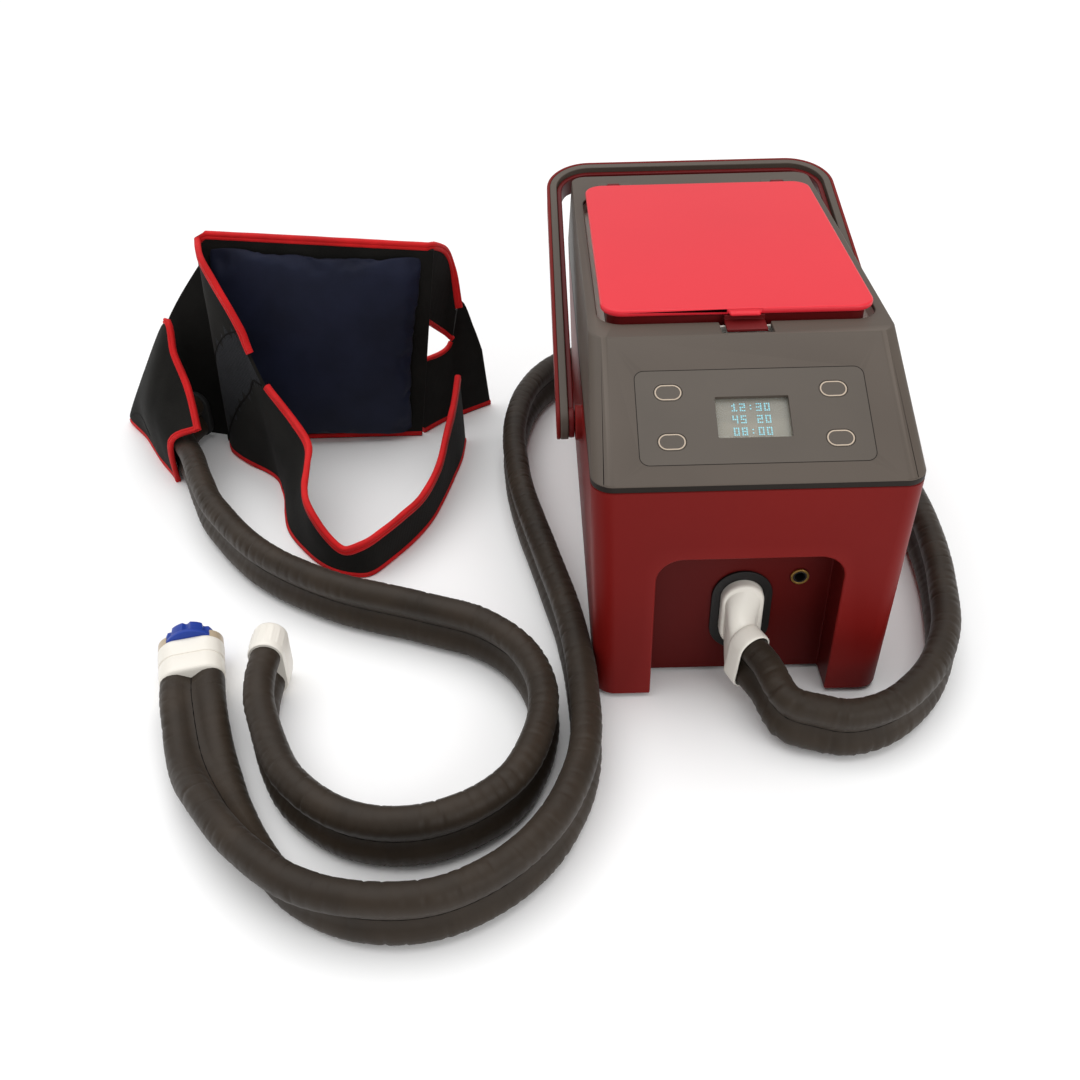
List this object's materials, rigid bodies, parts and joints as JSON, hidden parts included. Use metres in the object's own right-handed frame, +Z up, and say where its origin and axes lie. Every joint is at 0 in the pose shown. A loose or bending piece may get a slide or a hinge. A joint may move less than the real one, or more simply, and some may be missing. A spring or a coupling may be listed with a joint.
{
  "type": "hot cold therapy machine",
  "caption": "Ice-water therapy console with hinged lid, bail handle, sloping button panel and twin hose to a lumbar wrap.",
  "frame": {"origin": "middle of the machine's footprint, on the table under its rubber feet", "axes": "+X to the machine's right as seen from its panel, +Y from the panel to the back, +Z up"},
  "size_m": [0.6875, 0.6413, 0.2325],
  "materials": {
    "red_shell": "fine matte texture",
    "bright_red": "satin",
    "dark_red": "satin",
    "warm_grey": "fine matte texture",
    "black_plastic": "matte",
    "overlay_film": "satin film",
    "clear_window": "clear",
    "lcd": "display",
    "board_green": "solder mask",
    "steel": "zinc",
    "white_plastic": "moulded",
    "foam_white": "foam",
    "black_rubber": "matte",
    "blue_plastic": "moulded",
    "brass": "polished",
    "alu": "cast",
    "hose_sleeve": "coated nylon",
    "navy_fabric": "coated nylon",
    "black_fabric": "neoprene",
    "red_binding": "woven tape",
    "white_fabric": "satin tape"
  },
  "bodies": {
    "machine": {"housing": "red_shell", "base_plate": "black_plastic", "rubber_feet": "black_rubber", "base_screws": "steel", "top_cover": "warm_grey", "cover_screws": "steel", "control_overlay": "overlay_film", "display_window": "clear_window", "display_module": "lcd", "control_board": "board_green", "board_screws": "steel", "tact_switches": "black_plastic", "reservoir": "white_plastic", "insulation_jacket": "foam_white", "lid_gasket": "black_rubber", "intake_strainer": "white_plastic", "temperature_probe": "steel", "hinge_pins": "steel", "pivot_bolts": "black_plastic", "port_bezel": "black_plastic", "hose_manifold": "white_plastic", "manifold_seals": "black_rubber", "hose_elbow": "white_plastic", "power_socket": "black_plastic", "socket_ring": "brass", "socket_pins": "brass", "pump_motor": "steel", "pump_body": "white_plastic", "heater_block": "alu", "supply_tube": "black_rubber", "return_tube": "black_rubber", "power_board": "board_green", "machine_hose": "hose_sleeve", "coupling_body": "white_plastic", "wrap_hose": "hose_sleeve", "wrap_coupling": "white_plastic", "wrap_back_panel": "black_fabric", "wrap_pad": "navy_fabric", "wrap_left_wing": "black_fabric", "wrap_belt": "black_fabric", "wrap_right_wing": "black_fabric", "wrap_right_strap": "black_fabric", "wrap_hose_pocket": "black_fabric", "wrap_hose_gland": "black_rubber", "wrap_binding": "red_binding", "care_label": "white_fabric"},
    "lid": {"lid_plate": "bright_red", "lid_liner": "dark_red", "lid_foam": "foam_white"},
    "handle": {"handle_frame": "warm_grey", "handle_skin": "red_shell", "handle_lining": "dark_red"},
    "program_key": {"program_button": "overlay_film"},
    "temperature_key": {"temperature_button": "overlay_film"},
    "start_key": {"start_button": "overlay_film"},
    "timer_key": {"timer_button": "overlay_film"},
    "coupling_lock": {"coupling_cap": "blue_plastic"},
    "pump_rotor": {"pump_impeller": "white_plastic"}
  },
  "joints": [
    {"name": "lid_hinge", "type": "hinge", "parent": "machine", "child": "lid", "pos_m": [0, 0.1489, 0.228], "axis": [-1, 0, 0], "range_deg": [0, 95]},
    {"name": "handle_pivot", "type": "hinge", "parent": "machine", "child": "handle", "pos_m": [0, -0.08, 0.15], "axis": [1, 0, 0], "range_deg": [0, 160]},
    {"name": "program_key_press", "type": "slide", "parent": "machine", "child": "program_key", "axis": [0, 0.4659, -0.8848], "range_m": [0, 0.0006], "stiffness_N_per_m": 600, "springref_m": -0.001},
    {"name": "temperature_key_press", "type": "slide", "parent": "machine", "child": "temperature_key", "axis": [0, 0.4659, -0.8848], "range_m": [0, 0.0006], "stiffness_N_per_m": 600, "springref_m": -0.001},
    {"name": "start_key_press", "type": "slide", "parent": "machine", "child": "start_key", "axis": [0, 0.4659, -0.8848], "range_m": [0, 0.0006], "stiffness_N_per_m": 600, "springref_m": -0.001},
    {"name": "timer_key_press", "type": "slide", "parent": "machine", "child": "timer_key", "axis": [0, 0.4659, -0.8848], "range_m": [0, 0.0006], "stiffness_N_per_m": 600, "springref_m": -0.001},
    {"name": "coupling_lock_turn", "type": "hinge", "parent": "machine", "child": "coupling_lock", "pos_m": [-0.367, -0.186, 0.019], "axis": [-0.2419, 0.9703, 0], "range_deg": [0, 90]},
    {"name": "pump_spin", "type": "hinge", "parent": "machine", "child": "pump_rotor", "pos_m": [-0.0165, 0.06, 0.046], "axis": [0, 0, 1], "continuous": true}
  ]
}
